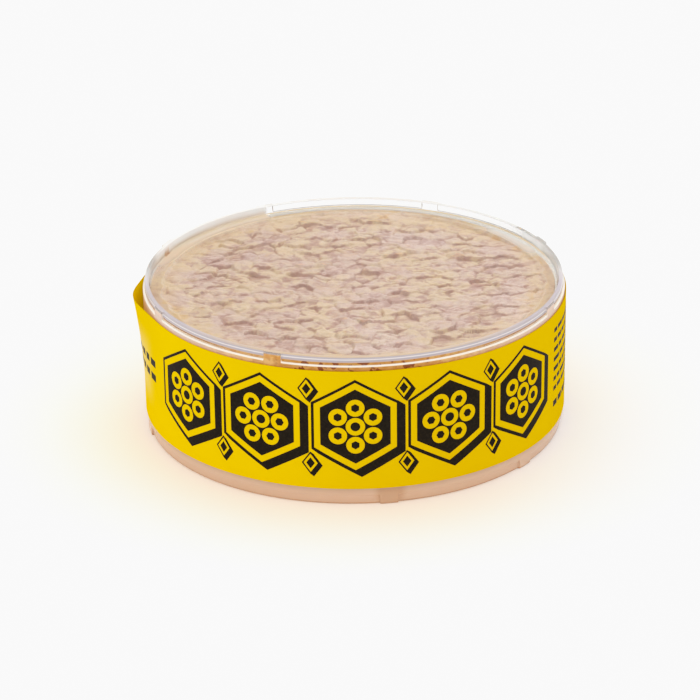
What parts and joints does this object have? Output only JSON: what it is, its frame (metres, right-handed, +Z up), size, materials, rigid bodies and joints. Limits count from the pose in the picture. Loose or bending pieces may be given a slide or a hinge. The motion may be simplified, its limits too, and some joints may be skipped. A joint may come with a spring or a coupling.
{
  "type": "round section of comb honey in a clear case",
  "caption": "Round slab of capped honeycomb held in white section rings between two clear covers, with a yellow label wrapped round its side.",
  "frame": {"origin": "centre of the case at the surface that its foot ridge stands on", "axes": "+Z up along the axis of the round case, -Y to the front of the label, +X to its right"},
  "size_m": [0.111, 0.1099, 0.0398],
  "materials": {
    "capped_wax": "pale cream beeswax cappings, satin, with darker pinkish brown hollows and yellower edges",
    "white_plastic": "milky white translucent polypropylene, satin",
    "clear_plastic": "clear glossy polystyrene",
    "label_film": "bright yellow printed label with black ornament, semi-gloss"
  },
  "bodies": {
    "root": {"comb": "capped_wax", "ring_lower": "white_plastic", "ring_upper": "white_plastic", "cover_bottom": "clear_plastic", "cover_top": "clear_plastic", "label": "label_film"}
  },
  "joints": []
}
